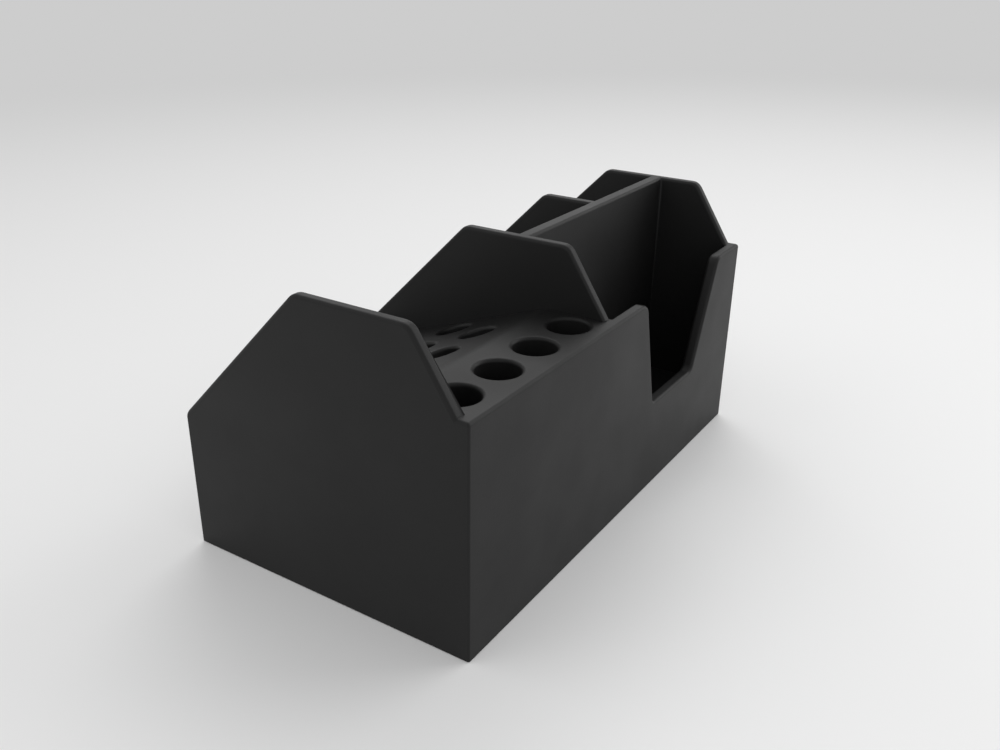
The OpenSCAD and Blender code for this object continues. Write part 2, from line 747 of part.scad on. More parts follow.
module blade_rivets() {
    color(STEEL) at_rivets() {
        translate([0, 0, 0.5 - bar_t]) cylinder(h = bar_t - 0.5 + blade_t, d = rivet_d);
        translate([0, 0, blade_t]) cylinder(h = 0.4, d1 = rivet_head_d, d2 = rivet_head_d - 0.8);
    }
}

housing();
compartment_floor();
base_plate();
base_screws();
rubber_feet();
drawer_tray();
drawer_front();
drawer_front_screws();
tape_cradle();
cradle_screws();
hub_axle();
hub_core();
hub_cap();
cutter_blade();
blade_rivets();
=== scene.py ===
"""Desk organizer with a pen deck, a notched note compartment, a tape hub and a drawer.

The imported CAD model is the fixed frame. This script dresses it: the moulded housing is made
anew with its rounded edges and fillets, the other pieces get their edges and finishes, and a
plain studio is set around them. Sizes are in millimetres, and one factor turns them to metres.
"""

import json
import logging
import math
from collections.abc import Callable
from dataclasses import dataclass, field
from enum import Enum

import bmesh
import bpy
import numpy as np
from mathutils import Matrix, Vector

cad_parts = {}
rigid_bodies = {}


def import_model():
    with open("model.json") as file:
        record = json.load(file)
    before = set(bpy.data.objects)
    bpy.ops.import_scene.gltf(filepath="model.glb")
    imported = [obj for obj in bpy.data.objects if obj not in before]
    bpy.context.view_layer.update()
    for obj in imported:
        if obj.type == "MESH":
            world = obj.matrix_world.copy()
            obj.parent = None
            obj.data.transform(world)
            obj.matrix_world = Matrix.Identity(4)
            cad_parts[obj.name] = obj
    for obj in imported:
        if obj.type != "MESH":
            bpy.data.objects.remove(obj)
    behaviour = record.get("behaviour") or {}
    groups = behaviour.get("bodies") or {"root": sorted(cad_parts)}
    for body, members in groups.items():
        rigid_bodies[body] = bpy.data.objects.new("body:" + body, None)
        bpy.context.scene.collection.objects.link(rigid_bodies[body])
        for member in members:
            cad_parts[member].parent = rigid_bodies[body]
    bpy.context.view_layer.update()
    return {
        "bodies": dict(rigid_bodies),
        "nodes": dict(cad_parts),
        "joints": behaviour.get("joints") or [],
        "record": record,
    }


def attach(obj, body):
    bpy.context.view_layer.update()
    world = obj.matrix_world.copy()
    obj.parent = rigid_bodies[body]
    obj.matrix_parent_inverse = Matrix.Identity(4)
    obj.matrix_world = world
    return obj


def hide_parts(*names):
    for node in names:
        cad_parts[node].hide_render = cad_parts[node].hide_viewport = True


Piece = bpy.types.Object
Tree = bpy.types.NodeTree
Socket = bpy.types.NodeSocket

LOG = logging.getLogger("desk_organizer")
MM = 0.001
# Points nearer than this in metres are merged, before and after the edges are rounded
WELD = 2e-6
WELD_ROUNDED = 5e-6
# Points of an outline that are nearer than this in millimetres are one
SAME_POINT = 1e-6
# Turned profiles keep this far from their axis in millimetres, so that no face lacks an area
NEAR_AXIS = 0.01
# A direction with more than this share of an axis runs along it
ALONG = 0.9


class Body(Enum):
    """The rigid bodies of the frame that the new pieces ride on."""

    ROOT = "root"
    DRAWER = "drawer"


class Slot(Enum):
    """The material slots of the record."""

    PLASTIC = "black_plastic"
    STEEL = "steel"
    RUBBER = "rubber"


class Cut(Enum):
    """The ways in which one solid changes another."""

    REMOVE = "DIFFERENCE"
    ADD = "UNION"
    KEEP_COMMON = "INTERSECT"


# Finishes


def linear(colour: str) -> tuple[float, float, float, float]:
    """Turns an sRGB hex colour into the linear values that a shader takes.

    Args:
        colour: Six hex digits after a hash sign.

    Returns:
        Red, green, blue and an alpha of 1.
    """
    parts = np.array([int(colour[i : i + 2], 16) for i in (1, 3, 5)]) / 255
    low, high = parts / 12.92, ((parts + 0.055) / 1.055) ** 2.4
    red, green, blue = np.where(parts <= 0.04045, low, high)
    return float(red), float(green), float(blue), 1.0


def add_node(
    tree: Tree,
    kind: str,
    settings: dict[str, object] | None = None,
    inputs: dict[str | int, object] | None = None,
) -> bpy.types.Node:
    """Adds a node with its settings, its socket values and its links.

    Args:
        tree: The node tree to add to.
        kind: Blender's type name of the node.
        settings: Attributes of the node.
        inputs: For each input's name or number a plain value, or an output socket to link from.

    Returns:
        The new node.
    """
    node = tree.nodes.new(kind)
    for name, value in (settings or {}).items():
        setattr(node, name, value)
    for name, value in (inputs or {}).items():
        if isinstance(value, Socket):
            tree.links.new(value, node.inputs[name])
        else:
            node.inputs[name].default_value = value
    return node


def blank_material(name: str) -> tuple[bpy.types.Material, Tree, Socket]:
    """Makes a material with nothing but its coordinates.

    Args:
        name: The material's name.

    Returns:
        The material, its node tree, and the output socket of the Object coordinates.
    """
    mat = bpy.data.materials.new(name)
    mat.use_nodes = True
    tree = mat.node_tree
    tree.nodes.clear()
    return mat, tree, add_node(tree, "ShaderNodeTexCoord").outputs["Object"]


def noise(tree: Tree, where: Socket, size: float, layers: float) -> Socket:
    """Adds a soft irregular pattern.

    Args:
        tree: The node tree to add to.
        where: Output socket of the place.
        size: Width of its patches in millimetres.
        layers: Number of finer layers on top.

    Returns:
        The output socket of the pattern.
    """
    inputs = {"Vector": where, "Scale": 1 / (size * MM), "Detail": layers}
    return add_node(tree, "ShaderNodeTexNoise", inputs=inputs).outputs["Fac"]


def relief(tree: Tree, height: Socket, strength: float, depth: float) -> Socket:
    """Turns a pattern into the unevenness of a surface.

    Args:
        tree: The node tree to add to.
        height: Output socket of the pattern.
        strength: Share of the slope that the light gets.
        depth: Height of the pattern in millimetres.

    Returns:
        The output socket of the normal.
    """
    inputs = {"Height": height, "Strength": strength, "Distance": depth * MM}
    return add_node(tree, "ShaderNodeBump", inputs=inputs).outputs["Normal"]


@dataclass(frozen=True)
class MouldedPlastic:
    """Black ABS from a spark-eroded mould: matt to the eye, with a soft broad sheen."""

    name: str = "moulded_black_abs"
    colour: str = "#191919"
    roughness: float = 0.5
    # Solid ABS has 1.53, and the mould texture scatters the larger part of that gloss
    ior: float = 1.32
    # A real mould texture is finer than a pixel here, so its grain is drawn wider and deeper
    grain: float = 0.8
    grain_depth: float = 0.06
    grain_layers: float = 3.0
    grain_strength: float = 0.35
    # The flow of the melt leaves broad patches that differ a little in gloss
    flow: float = 22.0
    flow_layers: float = 2.0
    flow_range: tuple[float, float] = (0.3, 0.7)
    flow_gloss: float = 0.03

    def material(self) -> bpy.types.Material:
        """Builds the material.

        Returns:
            A plastic whose grain and slight unevenness follow Object coordinates.
        """
        mat, tree, where = blank_material(self.name)
        grain = noise(tree, where, self.grain, self.grain_layers)
        gloss = add_node(
            tree,
            "ShaderNodeMapRange",
            inputs={
                "Value": noise(tree, where, self.flow, self.flow_layers),
                "From Min": self.flow_range[0],
                "From Max": self.flow_range[1],
                "To Min": self.roughness - self.flow_gloss,
                "To Max": self.roughness + self.flow_gloss,
            },
        )
        shader = add_node(
            tree,
            "ShaderNodeBsdfPrincipled",
            inputs={
                "Base Color": linear(self.colour),
                "Roughness": gloss.outputs["Result"],
                "IOR": self.ior,
                "Normal": relief(tree, grain, self.grain_strength, self.grain_depth),
            },
        )
        add_node(tree, "ShaderNodeOutputMaterial", inputs={"Surface": shader.outputs["BSDF"]})
        return mat


@dataclass(frozen=True)
class RolledSteel:
    """Stainless steel strip and wire, rolled and drawn: bright, with fine lines along X."""

    name: str = "rolled_stainless_steel"
    colour: str = "#c3c5c8"
    roughness: float = 0.28
    line: float = 0.25
    line_layers: float = 2.0
    # Scale of the pattern along X against the other axes, which draws it out into lines
    drawn: float = 0.03
    smoother: float = 0.08
    rougher: float = 0.1

    def material(self) -> bpy.types.Material:
        """Builds the material.

        Returns:
            A metal with rolling lines that run along X.
        """
        mat, tree, where = blank_material(self.name)
        along_x = add_node(
            tree, "ShaderNodeMapping", inputs={"Vector": where, "Scale": (self.drawn, 1.0, 1.0)}
        )
        gloss = add_node(
            tree,
            "ShaderNodeMapRange",
            inputs={
                "Value": noise(tree, along_x.outputs["Vector"], self.line, self.line_layers),
                "To Min": self.roughness - self.smoother,
                "To Max": self.roughness + self.rougher,
            },
        )
        shader = add_node(
            tree,
            "ShaderNodeBsdfPrincipled",
            inputs={
                "Base Color": linear(self.colour),
                "Metallic": 1.0,
                "Roughness": gloss.outputs["Result"],
            },
        )
        add_node(tree, "ShaderNodeOutputMaterial", inputs={"Surface": shader.outputs["BSDF"]})
        return mat


@dataclass(frozen=True)
class FootRubber:
    """Black nitrile rubber, pressed: dull, with a slightly uneven skin."""

    name: str = "pressed_black_rubber"
    colour: str = "#191919"
    roughness: float = 0.8
    ior: float = 1.52
    skin: float = 0.6
    skin_layers: float = 3.0
    skin_strength: float = 0.4
    skin_depth: float = 0.02

    def material(self) -> bpy.types.Material:
        """Builds the material.

        Returns:
            A dull rubber with a faint skin.
        """
        mat, tree, where = blank_material(self.name)
        skin = noise(tree, where, self.skin, self.skin_layers)
        shader = add_node(
            tree,
            "ShaderNodeBsdfPrincipled",
            inputs={
                "Base Color": linear(self.colour),
                "Roughness": self.roughness,
                "IOR": self.ior,
                "Normal": relief(tree, skin, self.skin_strength, self.skin_depth),
            },
        )
        add_node(tree, "ShaderNodeOutputMaterial", inputs={"Surface": shader.outputs["BSDF"]})
        return mat


@dataclass(frozen=True)
class StudioPaper:
    """Matt white paper, which fades with the distance into a painted glow as bright as the room.
    """

    name: str = "matt_background_paper"
    colour: str = "#f8f8f8"
    roughness: float = 0.9
    specular: float = 0.1
    # In metres: the middle of the painted fade on the floor, and the distances from it between
    # which it grows
    middle: tuple[float, float, float] = (-0.052, 0.285, 0.0)
    fade_from: float = -0.06
    fade_to: float = 1.41

    def material(self, room: tuple[float, float, float, float], glow: float) -> bpy.types.Material:
        """Builds the material.

        Args:
            room: Colour of the room, linear.
            glow: How bright the room is.

        Returns:
            A diffuse white that turns with the distance into painted light: a glow at the room's
            brightness, which paints the paper's darkening away from the middle and lifts the
            object's shadow a little.
        """
        mat, tree, where = blank_material(self.name)
        away = add_node(
            tree, "ShaderNodeVectorMath", {"operation": "DISTANCE"}, {0: where, 1: self.middle}
        )
        fade = add_node(
            tree,
            "ShaderNodeMapRange",
            {"interpolation_type": "SMOOTHSTEP"},
            {
                "Value": away.outputs["Value"],
                "From Min": self.fade_from,
                "From Max": self.fade_to,
            },
        )
        paper = add_node(
            tree,
            "ShaderNodeBsdfPrincipled",
            inputs={
                "Base Color": linear(self.colour),
                "Roughness": self.roughness,
                "Specular IOR Level": self.specular,
            },
        )
        # Painted light: an emission as bright as the room, which stands in for the paper's light
        # falling off far from the lamps
        distance = add_node(tree, "ShaderNodeEmission", inputs={"Color": room, "Strength": glow})
        seen = add_node(
            tree,
            "ShaderNodeMixShader",
            inputs={
                0: fade.outputs["Result"],
                1: paper.outputs["BSDF"],
                2: distance.outputs["Emission"],
            },
        )
        add_node(tree, "ShaderNodeOutputMaterial", inputs={"Surface": seen.outputs["Shader"]})
        return mat


# Shapes


def outline(corners: list[tuple[float, float, float]], steps: int) -> np.ndarray:
    """Rounds the corners of a closed outline.

    The arc at a corner p with the radius r starts at the distance r tan(turn / 2) before p and
    turns about c = p - d r tan(turn / 2) - s r n, where d is the direction of arrival, n the
    outward normal there, and s is 1 at an outer corner and -1 at an inner one.

    Args:
        corners: Each corner's two coordinates and its radius, anticlockwise.
        steps: Number of facets of an arc.

    Returns:
        The outline's points, one row each, without repeated points.
    """
    data = np.array(corners, float)
    here, radius = data[:, :2], data[:, 2]
    arrive = here - np.roll(here, 1, 0)
    leave = np.roll(here, -1, 0) - here
    arrive /= np.linalg.norm(arrive, axis=1, keepdims=True)
    leave /= np.linalg.norm(leave, axis=1, keepdims=True)
    side = np.where(arrive[:, 0] * leave[:, 1] - arrive[:, 1] * leave[:, 0] < 0, -1.0, 1.0)
    turn = np.arccos(np.clip((arrive * leave).sum(1), -1, 1))
    normal = np.stack([arrive[:, 1], -arrive[:, 0]], 1)
    start = here - arrive * (radius * np.tan(turn / 2))[:, None]
    centre = start - (side * radius)[:, None] * normal
    angle = (side * turn)[:, None] * np.linspace(0, 1, steps + 1)[None, :]
    cos, sin = np.cos(angle)[..., None], np.sin(angle)[..., None]
    swung = normal[:, None, :] * cos + np.stack([-normal[:, 1], normal[:, 0]], 1)[:, None] * sin
    arc = centre[:, None, :] + (side * radius)[:, None, None] * swung
    points = arc.reshape(-1, 2)
    apart = np.linalg.norm(points - np.roll(points, 1, 0), axis=1) > SAME_POINT
    return points[apart]


def joined(start: np.ndarray, end: np.ndarray) -> tuple[np.ndarray, list]:
    """Joins two rings of as many points by a wall, and closes both ends.

    Args:
        start: The first ring's points, one row each.
        end: The second ring's points.

    Returns:
        The points, and the faces as lists of point numbers.
    """
    count = len(start)
    i = np.arange(count)
    j = (i + 1) % count
    sides = np.stack([i, j, j + count, i + count], 1).tolist()
    return np.concatenate([start, end]), sides + [i[::-1].tolist(), (i + count).tolist()]


def extrude(ring: np.ndarray, path: tuple[float, float, float]) -> tuple[np.ndarray, list]:
    """Carries a flat ring of points along a straight path and closes both ends.

    Args:
        ring: The ring's points in space, one row each.
        path: The vector to carry it along.

    Returns:
        The points, and the faces as lists of point numbers.
    """
    return joined(ring, ring + np.array(path))


def on_yz(shape: np.ndarray, x: float) -> np.ndarray:
    """Stands an outline of depth and height up at the length x."""
    return np.stack([np.full(len(shape), x), shape[:, 0], shape[:, 1]], 1)


def on_xz(shape: np.ndarray, y: float) -> np.ndarray:
    """Stands an outline of length and height up at the depth y."""
    return np.stack([shape[:, 0], np.full(len(shape), y), shape[:, 1]], 1)


def on_xy(shape: np.ndarray, z: float) -> np.ndarray:
    """Lays an outline of length and depth down at the height z."""
    return np.stack([shape[:, 0], shape[:, 1], np.full(len(shape), z)], 1)


def lathe(profile: np.ndarray, count: int, at: np.ndarray, up: np.ndarray) -> tuple:
    """Turns a profile about an axis, for several places at once.

    A point at the radius r and the height h comes to at + up h + r (u cos t + v sin t), where u
    and v stand square to the axis.

    Args:
        profile: Radius and height, one row each, from the axis at the bottom to it at the top.
        count: Number of steps round.
        at: The places, one row each.
        up: The axis direction.

    Returns:
        The points, and the faces as lists of point numbers.
    """
    up = up / np.linalg.norm(up)
    u = np.array([1.0, 0.0, 0.0])
    v = np.cross(up, u)
    t = np.linspace(0, 2 * math.pi, count, endpoint=False)
    spokes = np.cos(t)[:, None] * u + np.sin(t)[:, None] * v
    rows = len(profile)
    grid = profile[:, 1, None, None] * up + profile[:, 0, None, None] * spokes[None]
    points = (at[:, None, None, :] + grid[None]).reshape(-1, 3)
    i = np.arange(count)
    k = np.arange(rows - 1)[:, None]
    a, b = k * count + i, k * count + (i + 1) % count
    quads = np.stack([a, b, b + count, a + count], -1).reshape(-1, 4)
    faces: list = []
    for n in range(len(at)):
        base = n * rows * count
        faces += (quads + base).tolist()
        faces += [(i[::-1] + base).tolist(), (i + base + (rows - 1) * count).tolist()]
    return points, faces


def solid(name: str, points: np.ndarray, faces: list) -> Piece:
    """Makes an object from points in millimetres.

    Args:
        name: The object's name.
        points: One row each, in millimetres.
        faces: Lists of point numbers.

    Returns:
        The object, linked to the scene, with its faces pointing outwards.
    """
    mesh = bpy.data.meshes.new(name)
    mesh.from_pydata((points * MM).tolist(), [], faces)
    mesh.validate()
    shape = bmesh.new()
    shape.from_mesh(mesh)
    bmesh.ops.recalc_face_normals(shape, faces=shape.faces)
    shape.to_mesh(mesh)
    shape.free()
    made = bpy.data.objects.new(name, mesh)
    bpy.context.scene.collection.objects.link(made)
    return made


def rectangle(low: tuple[float, float], high: tuple[float, float]) -> np.ndarray:
    """Gives the four corners of a rectangle, anticlockwise."""
    return np.array([low, (high[0], low[1]), high, (low[0], high[1])], float)


def block(name: str, low: tuple[float, float, float], high: tuple[float, float, float]) -> Piece:
    """Makes a box that changes a solid.

    Args:
        name: The object's name.
        low: The lowest corner, in millimetres.
        high: The highest corner, in millimetres.

    Returns:
        The object.
    """
    ring = on_xy(rectangle(low[:2], high[:2]), low[2])
    return solid(name, *extrude(ring, (0, 0, high[2] - low[2])))


def apply_modifiers(piece: Piece) -> None:
    """Writes what the modifiers make of a piece into its mesh, and clears them.

    Args:
        piece: The object to change.
    """
    bpy.context.view_layer.update()
    seen = piece.evaluated_get(bpy.context.evaluated_depsgraph_get())
    mesh = bpy.data.meshes.new_from_object(seen)
    old = piece.data
    piece.modifiers.clear()
    piece.data = mesh
    bpy.data.meshes.remove(old)


def change(piece: Piece, tool: Piece, how: Cut) -> None:
    """Changes a solid by another one, which is used up.

    Args:
        piece: The solid that stays.
        tool: The solid that is taken away, added or kept in common.
        how: What to do.
    """
    work = piece.modifiers.new("change", "BOOLEAN")
    work.operation = how.value
    work.solver = "EXACT"
    work.object = tool
    apply_modifiers(piece)
    bpy.data.objects.remove(tool, do_unlink=True)


def tidy(piece: Piece, flat: float = 0.2) -> None:
    """Merges doubled points and joins the flat faces of a mesh.

    Args:
        piece: The object to change.
        flat: Largest angle in degrees that still counts as flat.
    """
    shape = bmesh.new()
    shape.from_mesh(piece.data)
    bmesh.ops.remove_doubles(shape, verts=shape.verts, dist=WELD)
    bmesh.ops.dissolve_limit(
        shape, angle_limit=math.radians(flat), verts=shape.verts, edges=shape.edges
    )
    shape.to_mesh(piece.data)
    shape.free()


def soften(
    piece: Piece,
    width: float,
    segments: int,
    shortest: float = 0.0,
    least: float = 32,
) -> None:
    """Rounds every edge that turns by more than an angle.

    Args:
        piece: The object to change.
        width: Radius of the rounding in millimetres.
        segments: Number of facets.
        shortest: Shortest edge in millimetres that is rounded.
        least: Smallest turn in degrees that is rounded.
    """

    def radius_of(edge: bmesh.types.BMEdge) -> float:
        rounded = turn_of(edge) > least and edge.calc_length() > shortest * MM
        return width if rounded else 0.0

    round_edges(piece, radius_of, segments)


def turn_of(edge: bmesh.types.BMEdge) -> float:
    """Gives the turn in degrees between the two faces of an edge."""
    return math.degrees(edge.calc_face_angle(0.0))


def round_edges(
    piece: Piece,
    radius_of: Callable[[bmesh.types.BMEdge], float],
    segments: int,
) -> None:
    """Rounds the edges of a solid, each by a radius of its own.

    Args:
        piece: The object to change.
        radius_of: Gives an edge's radius in millimetres, or nothing where it stays sharp.
        segments: Number of facets of a rounding.
    """
    shape = bmesh.new()
    shape.from_mesh(piece.data)
    weight = shape.edges.layers.float.new("bevel_weight_edge")
    radii = {edge: radius_of(edge) for edge in shape.edges}
    largest = max(radii.values())
    for edge, radius in radii.items():
        edge[weight] = radius / largest
    shape.to_mesh(piece.data)
    shape.free()
    work = piece.modifiers.new("rounded_edges", "BEVEL")
    work.width = largest * MM
    work.segments = segments
    work.limit_method = "WEIGHT"
    work.use_clamp_overlap = False
    apply_modifiers(piece)


def hold_within(piece: Piece, node: Piece) -> None:
    """Moves a piece's points that lie outside the CAD node's box onto the box.

    Args:
        piece: The object to change.
        node: The CAD node's object.
    """
    corners = np.array([vertex.co for vertex in node.data.vertices])
    points = np.array([vertex.co for vertex in piece.data.vertices])
    held = np.clip(points, corners.min(0), corners.max(0))
    piece.data.vertices.foreach_set("co", held.ravel())
    piece.data.update()


def triangles(piece: Piece) -> None:
    """Cuts the faces of a rounded solid into triangles, so that each is flat.

    Args:
        piece: The object to change.
    """
    shape = bmesh.new()
    shape.from_mesh(piece.data)
    bmesh.ops.remove_doubles(shape, verts=shape.verts, dist=WELD_ROUNDED)
    bmesh.ops.dissolve_degenerate(shape, edges=shape.edges, dist=WELD)
    bmesh.ops.triangulate(shape, faces=shape.faces)
    shape.to_mesh(piece.data)
    shape.free()


def smooth(piece: Piece, angle: float = 34, weight: int = 80) -> None:
    """Shades a piece smooth, and keeps its large flat faces flat.

    Args:
        piece: The object to change.
        angle: Turn in degrees from which an edge stays sharp.
        weight: How much more a large face counts than a small one, where 50 is equal.
    """
    piece.data.shade_smooth()
    piece.data.set_sharp_from_angle(angle=math.radians(angle))
    weigh = piece.modifiers.new("flat_faces_lead", "WEIGHTED_NORMAL")
    weigh.keep_sharp = True
    weigh.weight = weight


def merged_copy(node: Piece, name: str) -> Piece:
    """Copies a CAD node and merges its loose triangles.

    Args:
        node: The CAD node's object.
        name: The copy's name.

    Returns:
        The copy, linked to the scene.
    """
    made = bpy.data.objects.new(name, node.data.copy())
    bpy.context.scene.collection.objects.link(made)
    tidy(made)
    return made


def separate_solids(node: Piece, places: int = 3) -> tuple[np.ndarray, np.ndarray]:
    """Finds the boxes of the separate solids of a CAD node.

    Args:
        node: The CAD node's object.
        places: Decimals of a millimetre by which the boxes are put in order.

    Returns:
        The lowest corners and the highest ones in millimetres, with a row for each solid.
    """
    shape = bmesh.new()
    shape.from_mesh(node.data)
    bmesh.ops.remove_doubles(shape, verts=shape.verts, dist=WELD)
    boxes = []
    left = set(shape.verts)
    while left:
        group = [left.pop()]
        for vertex in group:
            near = {edge.other_vert(vertex) for edge in vertex.link_edges} & left
            left -= near
            group.extend(near)
        points = np.array([vertex.co for vertex in group]) / MM
        boxes.append((points.min(0), points.max(0)))
    shape.free()
    boxes.sort(key=lambda box: tuple(box[0].round(places)))
    low, high = np.array(boxes).swapaxes(0, 1)
    return low, high


@dataclass
class Dresser:
    """Hands a piece its finish, its body and the node that it stands for."""

    frame: dict
    finishes: dict[Slot, bpy.types.Material]

    def dress(self, piece: Piece, slot: Slot, body: Body, *nodes: str) -> None:
        """Finishes a new piece.

        Args:
            piece: The object.
            slot: The record's slot that its finish belongs to.
            body: The body that it rides on.
            *nodes: CAD nodes that it stands for.
        """
        piece.data.materials.clear()
        piece.data.materials.append(self.finishes[slot])
        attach(piece, body.value)
        if nodes:
            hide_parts(*nodes)
        LOG.info("%s: %d faces", piece.name, len(piece.data.polygons))

    def paint(self, node: str, slot: Slot) -> None:
        """Gives a CAD node its finish.

        Args:
            node: The node's name.
            slot: The record's slot.
        """
        piece = self.frame["nodes"][node]
        if not piece.data.materials:
            piece.data.materials.append(self.finishes[slot])
        for place in piece.material_slots:
            place.material = self.finishes[slot]
        LOG.info("%s: CAD node, %s", node, slot.value)


# The housing


@dataclass
class Housing:
    """The one black moulding: panels, walls, partition, pen deck and its holes.

    Right is +X and back is +Y. The deck is between the middle panel and the right one.
    """

    length: float = 200.0
    depth: float = 114.5
    back_height: float = 80.0
    front_height: float = 51.0
    panel_height: float = 103.75
    rim_gap: float = 0.4
    panel: float = 4.0
    back_wall: float = 4.5
    front_wall: float = 4.0
    partition: float = 5.25
    edge: float = 1.25
    # The free edges get this much less than their radius
    edge_play: float = 0.02
    outer_edge: float = 0.75
    fillet: float = 1.25
    front_shoulder: float = 45.0
    back_shoulder: float = 57.0
    top_corner: float = 5.0
    low_corner: float = 5.0
    pen_bay: float = 82.2
    tape_bay: float = 51.0
    note_bay: float = 31.5
    notch_height: float = 36.5
    notch_width: float = 36.4
    notch_middle: float = 58.9
    notch_leans: tuple[float, float] = (14.8, 22.3)
    notch_top: float = 4.5
    notch_bottom: float = 3.5
    deck_flat: float = 27.2
    deck_slope: float = 20.0
    deck: float = 3.0
    marker: float = 14.5
    marker_holes: int = 4
    marker_row: float = 13.3
    pen: float = 12.5
    pen_rows: int = 4
    # The first row has this many pen holes, the next one more, and so on by turns, and the rows
    # step down as in a pattern of equal triangles
    pen_holes: int = 3
    pen_step: float = 30.0
    pen_first: float = 16.0
    pitch: float = 21.3
    rim: float = 1.25
    collar: float = 1.6
    collar_length: float = 6.0
    collar_edge: float = 0.4
    floor: float = 16.5
    floor_plate: float = 3.0
    crease: float = 0.4
    # The rims end this far above the deck, so that they cross its face cleanly
    clear: float = 0.012
    facets: int = 6
    edge_facets: int = 4
    hole_facets: int = 64
    # Reach of the cutting tools: past a wall, out of a rim, into a bay, and out of the form
    past: float = 1.0
    past_rim: float = 4.0
    past_front: float = 3.0
    outside: float = 10.0
    # The tool above the deck's slope: its start below the crease, its length, and its limit
    slope_start: float = 140.0
    slope_length: float = 180.0
    slope_height: float = 300.0
    # Edges: how near a face counts as on it, the least turn in degrees that is rounded, the
    # turns of the panels' low front corner, and how far below the deck an edge is hidden
    near: float = 0.1
    least_turn: float = 12.0
    low_corner_turns: tuple[float, float] = (40.0, 50.0)
    hidden_below: float = 1.0
    # Turn in degrees up to which faces are joined once the roundings are in
    flat_at_last: float = 0.05

    def __post_init__(self) -> None:
        """Works out the inner faces, and the slope's angle in radians and its normal."""
        self.x_in = self.length / 2 - self.panel
        self.y_back = self.depth / 2 - self.back_wall
        self.y_front = self.front_wall - self.depth / 2
        self.x_mid_r = self.x_in - self.pen_bay
        self.x_mid_l = self.x_mid_r - self.panel
        self.x_sub_r = self.x_mid_l - self.tape_bay
        self.x_sub_l = self.x_sub_r - self.panel
        self.y_part_b = self.y_back - self.note_bay
        self.y_part_f = self.y_part_b - self.partition
        self.y_crease = self.depth / 2 - self.deck_flat
        self.slope = math.radians(self.deck_slope)
        self.slope_up = np.array([0, -math.sin(self.slope), math.cos(self.slope)])

    def outer_form(self) -> Piece:
        """Makes the panels' outline over the whole length."""
        half = self.depth / 2
        rise_b = self.panel_height - self.back_height
        rise_f = self.panel_height - self.front_height
        top_b = self.y_back - rise_b / math.tan(math.radians(self.back_shoulder))
        top_f = -half + rise_f / math.tan(math.radians(self.front_shoulder))
        shape = outline(
            [
                (-half, self.rim_gap, 0),
                (half, self.rim_gap, 0),
                (half, self.back_height, 0),
                (self.y_back, self.back_height, 0),
                (top_b, self.panel_height, self.top_corner),
                (top_f, self.panel_height, self.top_corner),
                (-half, self.front_height, 0),
            ],
            self.facets,
        )
        return solid(
            "organizer_housing", *extrude(on_yz(shape, -self.length / 2), (self.length, 0, 0))
        )

    def open_bays(self, shell: Piece) -> None:
        """Opens the three bays and levels the front wall beside them.

        Args:
            shell: The solid to open.
        """
        low, high = self.floor, self.panel_height + self.outside
        for name, x0, x1, y0, y1 in (
            ("note", -self.x_in, self.x_mid_l, self.y_part_b, self.y_back),
            ("tape", self.x_sub_r, self.x_mid_l, self.y_front, self.y_part_f),
            ("store", -self.x_in, self.x_sub_l, self.y_front, self.y_part_f),
        ):
            change(shell, block(name, (x0, y0, low), (x1, y1, high)), Cut.REMOVE)
        for x0, x1 in ((self.x_sub_r, self.x_mid_l), (-self.x_in, self.x_sub_l)):
            start = (x0, -self.depth, self.front_height)
            end = (x1, self.y_front + self.past_front, high)
            change(shell, block("level", start, end), Cut.REMOVE)

    def open_deck(self, shell: Piece) -> None:
        """Takes away what stands above the deck, flat part and slope, and hollows it below.

        Args:
            shell: The solid to open.
        """
        high = self.panel_height
        shape = rectangle((self.x_mid_r, 0), (self.x_in, high))
        lift = np.array([0, 0, self.back_height])
        flat = on_xz(shape, self.y_crease - self.deck_flat) + lift
        path = (0, self.deck_flat * 2 + self.past, 0)
        change(shell, solid("flat_part", *extrude(flat, path)), Cut.REMOVE)
        along = np.array([0, math.cos(self.slope), math.sin(self.slope)])
        ring = shape[:, 0, None] * np.array([1, 0, 0]) + shape[:, 1, None] * self.slope_up
        start = ring + np.array([0, self.y_crease, self.back_height]) - along * self.slope_start
        tool = solid("slope", *extrude(start, tuple(along * self.slope_length)))
        low_corner = (self.x_mid_r - self.past, self.y_front, 0)
        high_corner = (self.x_in + self.past, self.depth, self.slope_height)
        change(tool, block("behind_front_wall", low_corner, high_corner), Cut.KEEP_COMMON)
        change(shell, tool, Cut.REMOVE)
        low_corner = (self.x_mid_r, -self.depth, self.front_height)
        high_corner = (self.x_in, self.y_front, high + self.outside)
        change(shell, block("level", low_corner, high_corner), Cut.REMOVE)
        bend = self.y_crease - self.deck * math.tan(self.slope / 2)
        fall = (self.y_crease - self.y_front) * math.tan(self.slope)
        hollow = np.array(
            [
                (self.y_front, self.floor),
                (self.y_back, self.floor),
                (self.y_back, self.back_height - self.deck),
                (bend, self.back_height - self.deck),
                (self.y_front, self.back_height - fall - self.deck / math.cos(self.slope)),
            ]
        )
        ring = on_yz(hollow, self.x_mid_r)
        change(shell, solid("hollow", *extrude(ring, (self.pen_bay, 0, 0))), Cut.REMOVE)

